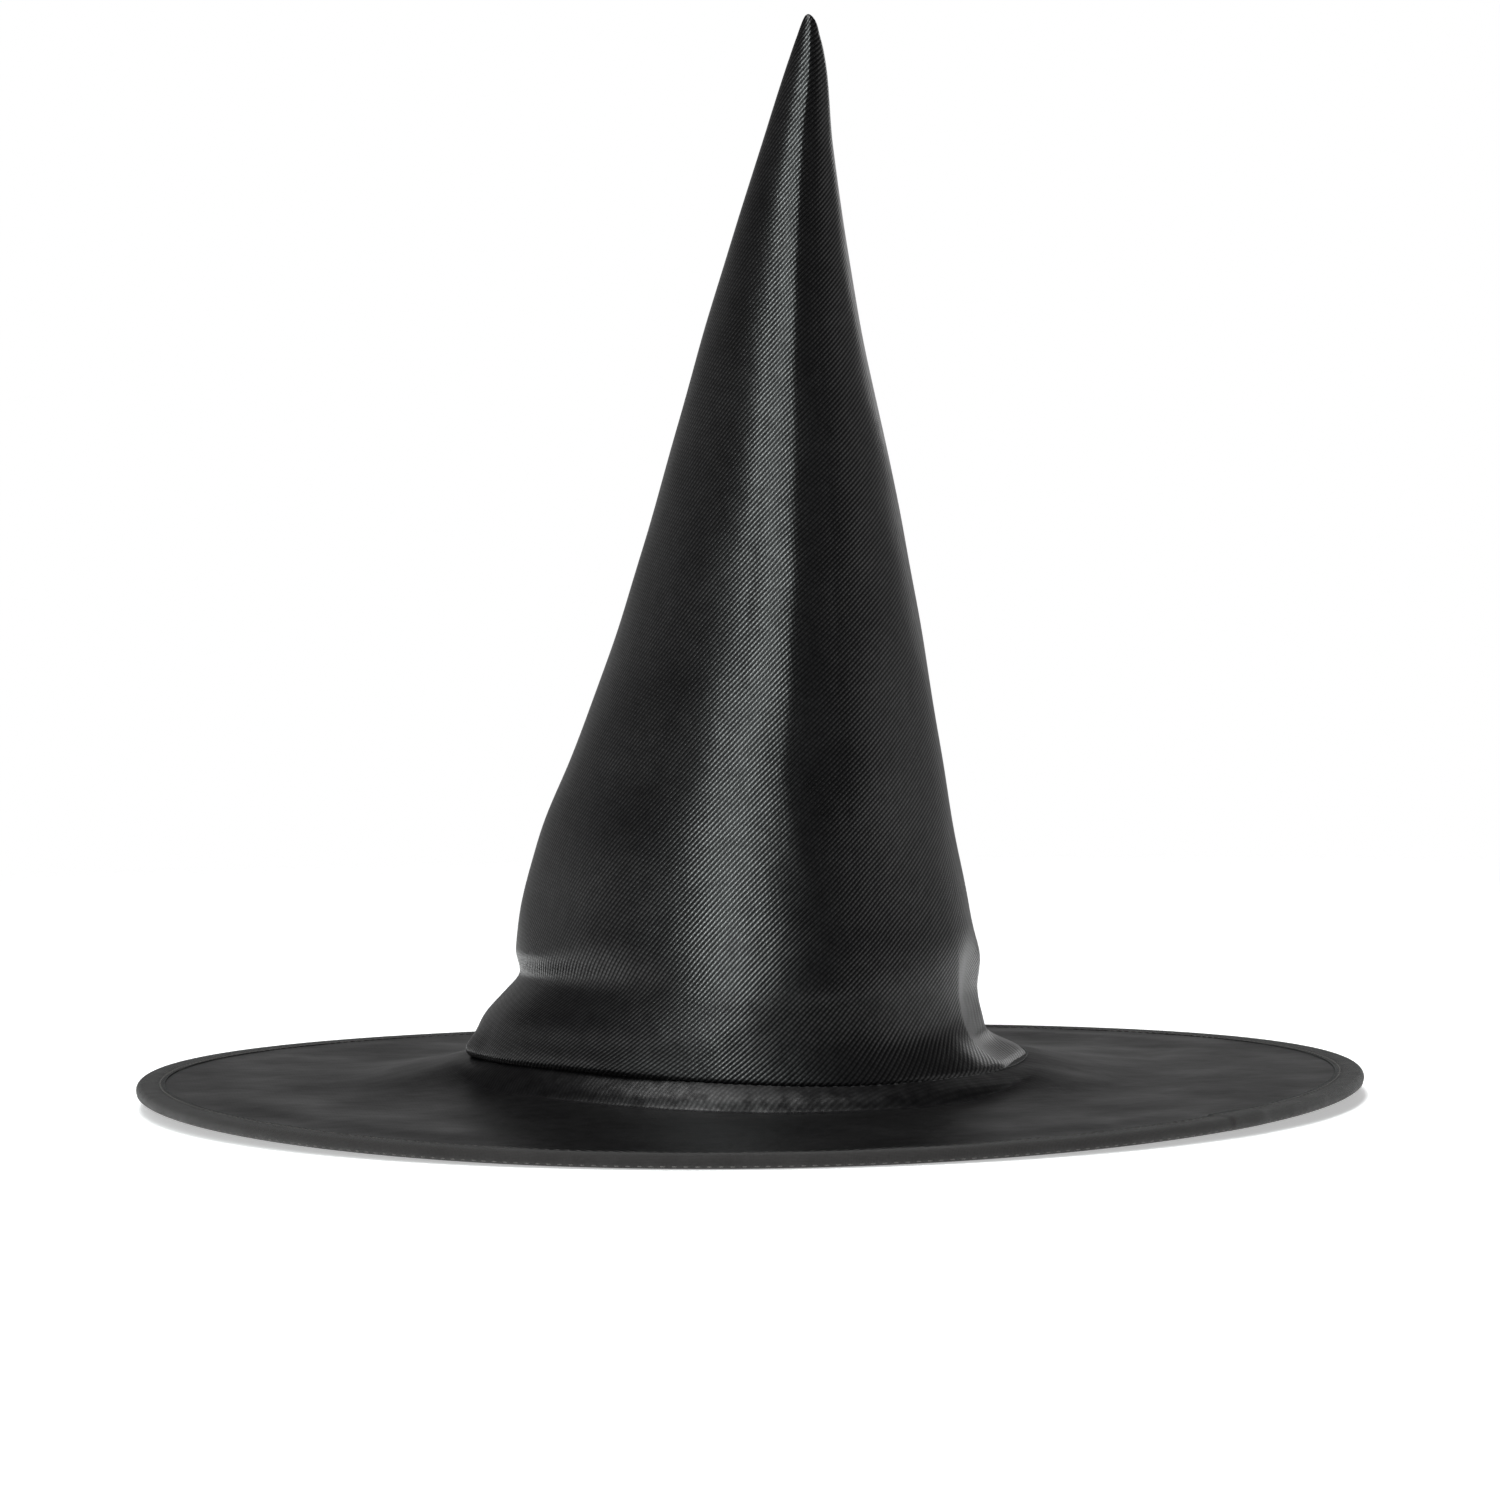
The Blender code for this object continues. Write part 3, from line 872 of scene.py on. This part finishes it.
def build_inside():
    """The ribbon in the opening, its stitching and the stitches of the crown's seam."""
    ribbon = grosgrain("grosgrain")
    thread = thread_material("seam_thread", (0.008, 0.008, 0.008), (0.03, 0.03, 0.03))
    low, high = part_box("sweatband")
    band_from, band_to = CROWN_WALL + GAP, CROWN_WALL + GAP + 0.0007
    band = crown_band("sweatband_ribbon", band_from, band_to, low.z, high.z, 14, 192)
    place(band, ribbon, "hat", "grosgrain", "sweatband")

    band_row = ring_of_stitches(
        OPENING_RADIUS - band_to - THREAD_RADIUS,
        lambda turn: low.z + 0.0015 + float(seam_lift(turn)),
        OPENING_RADIUS,
        pitch=0.0032,
        length=0.0026,
        arch=0.0001,
        up_at=lambda turn: (-math.sin(turn), math.cos(turn), 0),
    )
    place(thread_piece("sweatband_stitches", [band_row]), thread, "hat", "thread", "sweatband_thread")
    seam_row = ring_of_stitches(
        OPENING_RADIUS - 0.0004,
        lambda turn: SEAM_HEIGHT + float(seam_lift(turn)) - 0.0001,
        OPENING_RADIUS,
        pitch=0.0030,
        length=0.0022,
        arch=0.0001,
        up_at=lambda turn: (0.6 * math.sin(turn), -0.6 * math.cos(turn), 1),
    )
    place(thread_piece("crown_seam_stitches", [seam_row]), thread, "hat", "thread", "crown_seam_thread")


def build_tape():
    """The tape over the back seam, inside the crown."""
    low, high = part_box("back_seam_tape")
    heights = np.linspace(low.z, high.z, 90)
    half_width = 0.005
    inset = CROWN_WALL + GAP
    rings, uvs = [], []
    across = np.array([-1, -0.5, 0, 0.5, 1])
    outline = [(side, 0.0) for side in across] + [(side, 0.0006) for side in across[::-1]]
    for height in heights:
        middle, depth = float(crown_middle(height)), float(crown_half_depth(height))
        width = float(crown_half_width(height)) - inset
        ring = []
        for side, thick in outline:
            sideways = side * half_width
            reach = math.sqrt(max(0.0, 1 - (sideways / width) ** 2))
            turn = math.pi - sideways / depth
            out = float(folds(np.array(turn), height)) - inset - thick
            ring.append((middle + sideways, (depth + out) * reach, height))
        rings.append(np.array(ring + ring[:1]))
        uvs.append(np.array([(s * half_width + t, height) for s, t in outline + outline[:1]]))
    tape = skin("back_seam_tape_cloth", *close_ends(rings, uvs))
    weave = plain_weave("seam_tape", (0.006, 0.006, 0.006), (0.024, 0.023, 0.023), 0.7, 0.0005, 0.0001)
    place(tape, weave, "hat", "binding_tape", "back_seam_tape")


def build_label():
    """A blank satin label, sewn in by its top edge, with a folded hem at its foot."""
    low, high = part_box("care_label")
    middle_x, middle_y = (low.x + high.x) / 2, (low.y + high.y) / 2
    half_width, thickness = (high.x - low.x) / 2, 0.00026
    rows = np.linspace(0, 1, 40)
    across = np.linspace(-1, 1, 17)
    outline = [(side, 1.0) for side in across] + [(side, -1.0) for side in across[::-1]]
    rings, uvs = [], []
    for share in rows:
        height = high.z + share * (low.z - high.z)
        hem = 1.0 + 0.7 * float(step(share, 0.86, 0.88))
        ring = []
        for side, face in outline:
            curl = -0.0011 * share**2 * (1 - 0.55 * side) + 0.0002 * math.sin(9 * share + 2 * side)
            depth = middle_y + curl + face * hem * thickness / 2
            ring.append((middle_x + side * half_width, depth, height))
        rings.append(np.array(ring + ring[:1]))
        uvs.append(np.array([(s * half_width, height + 0.05 * (f < 0)) for s, f in outline + outline[:1]]))
    label = skin("care_label_cloth", *close_ends(rings, uvs))
    white = plain_weave("label_weave", (0.50, 0.49, 0.47), (0.80, 0.79, 0.76), 0.45, 0.00035, 0.00004)
    place(label, white, "care_label", "label_satin", "care_label")


def build_wire():
    """The hoop of spring wire in the binding's fold, and the sleeve crimped over its ends at the back."""
    low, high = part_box("hoop_wire")
    thickness = (high.z - low.z) / 2
    radius = high.x - thickness

    def on_hoop(turn, lift=0.0):
        return radius * math.sin(turn), -radius * math.cos(turn), RIM_TOP / 2 + lift

    gap = degrees(0.1)
    angles = np.linspace(-math.pi + gap, math.pi - gap, 181)
    points = [on_hoop(turn, float(rim_lift(turn))) for turn in angles]
    steel = metal_material("spring_steel", (0.45, 0.45, 0.46), 0.25, 0.45, 700)
    place(tube("spring_hoop", points, thickness), steel, "hat", "spring_steel", "hoop_wire")
    low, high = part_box("hoop_sleeve")
    half_length = (high.x - low.x) / 2
    spread = np.linspace(-half_length, half_length, 15) / radius
    centres = [on_hoop(turn) for turn in math.pi + spread]
    crimps = 1 - 0.10 * (bump(spread * radius, -0.004, 0.0012) + bump(spread * radius, 0.004, 0.0012))
    aluminium = metal_material("aluminium", (0.70, 0.70, 0.71), 0.30, 0.55, 500)
    sleeve = tube("crimped_sleeve", centres, thickness + 0.0005, crimps, wall=0.0003)
    place(sleeve, aluminium, "hat", "ferrule", "hoop_sleeve")


# ---------------------------------------------------------------- studio


def build_floor():
    """A pale floor that fades into the background."""
    bpy.ops.mesh.primitive_circle_add(vertices=96, radius=6.0, fill_type="NGON", location=(0, 0, -0.0002))
    floor = bpy.context.object
    floor.name = "floor"
    material = bpy.data.materials.new("floor")
    material.use_nodes = True
    tree = material.node_tree
    shader = tree.nodes["Principled BSDF"]
    shader.inputs["Base Color"].default_value = (0.93, 0.93, 0.93, 1)
    shader.inputs["Roughness"].default_value = 0.9
    shader.inputs["Specular IOR Level"].default_value = 0.1
    shader.inputs["Emission Color"].default_value = (1, 1, 1, 1)
    shader.inputs["Emission Strength"].default_value = 0.45
    place_on_floor = tree.nodes.new("ShaderNodeTexCoord").outputs["Object"]
    far = add_node(tree, "ShaderNodeVectorMath", {0: place_on_floor}, operation="LENGTH").outputs["Value"]
    fade = span(tree, far, 0.0, 1.0, 0.30, 1.30)
    clear = tree.nodes.new("ShaderNodeBsdfTransparent")
    mix = add_node(tree, "ShaderNodeMixShader", {0: fade, 1: shader.outputs[0], 2: clear.outputs[0]})
    tree.links.new(mix.outputs[0], tree.nodes["Material Output"].inputs["Surface"])
    floor.data.materials.append(material)


def build_world():
    """White to look at. As light it is brightest at the sides, and dim above and in front of the hat."""
    world = bpy.data.worlds.new("studio")
    world.use_nodes = True
    tree = world.node_tree
    tree.nodes.clear()
    direction = tree.nodes.new("ShaderNodeTexCoord").outputs["Generated"]
    towards = add_node(tree, "ShaderNodeSeparateXYZ", {0: direction})
    sides = span(tree, towards.outputs["Y"], 0.74, 0.26, 0.0, 0.6)
    behind = span(tree, towards.outputs["Y"], 0.0, 0.18, 0.89, 0.99)
    sides = maths(tree, "ADD", sides, behind)
    in_front = span(tree, dot(tree, direction, (0.34, -0.94, 0)), 1.0, 0.02, 0.42, 0.78)
    above = span(tree, towards.outputs["Z"], 1.0, 0.06, 0.20, 0.50)
    level = maths(tree, "MULTIPLY", maths(tree, "MULTIPLY", sides, in_front), above)
    lighting = add_node(tree, "ShaderNodeBackground", {"Color": (1, 1, 1, 1), "Strength": level})
    seen = add_node(tree, "ShaderNodeBackground", {"Color": (1, 1, 1, 1), "Strength": 1.0})
    eye = tree.nodes.new("ShaderNodeLightPath").outputs["Is Camera Ray"]
    mix = add_node(tree, "ShaderNodeMixShader", {0: eye, 1: lighting.outputs[0], 2: seen.outputs[0]})
    out = tree.nodes.new("ShaderNodeOutputWorld")
    tree.links.new(mix.outputs[0], out.inputs["Surface"])
    bpy.context.scene.world = world


def softbox(name, location, aim, width, height, power, colour=(1, 1, 1)):
    """A rectangular light that the camera doesn't see."""
    light = bpy.data.lights.new(name, "AREA")
    light.shape = "RECTANGLE"
    light.size, light.size_y = width, height
    light.energy = power
    light.color = colour
    made = bpy.data.objects.new(name, light)
    bpy.context.scene.collection.objects.link(made)
    made.location = location
    made.rotation_mode = "QUATERNION"
    made.rotation_quaternion = (Vector(location) - Vector(aim)).to_track_quat("Z", "Y")
    made.visible_camera = False
    return made


def build_lights():
    middle = (0, 0, 0.16)
    softbox("front_box", (-0.50, -2.3, 1.45), middle, 0.55, 2.9, 62, (0.93, 1.0, 0.99))
    softbox("right_box", (1.05, 2.05, 0.85), middle, 0.5, 0.8, 2.5)
    softbox("top_box", (-0.25, -0.25, 2.4), middle, 1.2, 1.2, 42)


def build_camera():
    """Level with the middle of the crown, 1.6 m off, aimed a little down and rolled as a held camera is."""
    data = bpy.data.cameras.new("camera")
    data.sensor_width = 36
    data.lens = 117.4
    camera = bpy.data.objects.new("camera", data)
    bpy.context.scene.collection.objects.link(camera)
    location, aim = Vector((0.0009, -1.6, 0.1748)), Vector((0.0012, 0, 0.1130))
    camera.location = location
    camera.rotation_euler = (location - aim).to_track_quat("Z", "Y").to_euler()
    camera.rotation_euler.rotate_axis("Z", degrees(-0.64))
    data.dof.use_dof = False
    bpy.context.scene.camera = camera


def main():
    build_crown()
    build_brim()
    build_binding()
    build_inside()
    build_tape()
    build_label()
    build_wire()
    build_floor()
    build_world()
    build_lights()
    build_camera()
    bpy.context.scene.view_settings.view_transform = "Standard"


main()
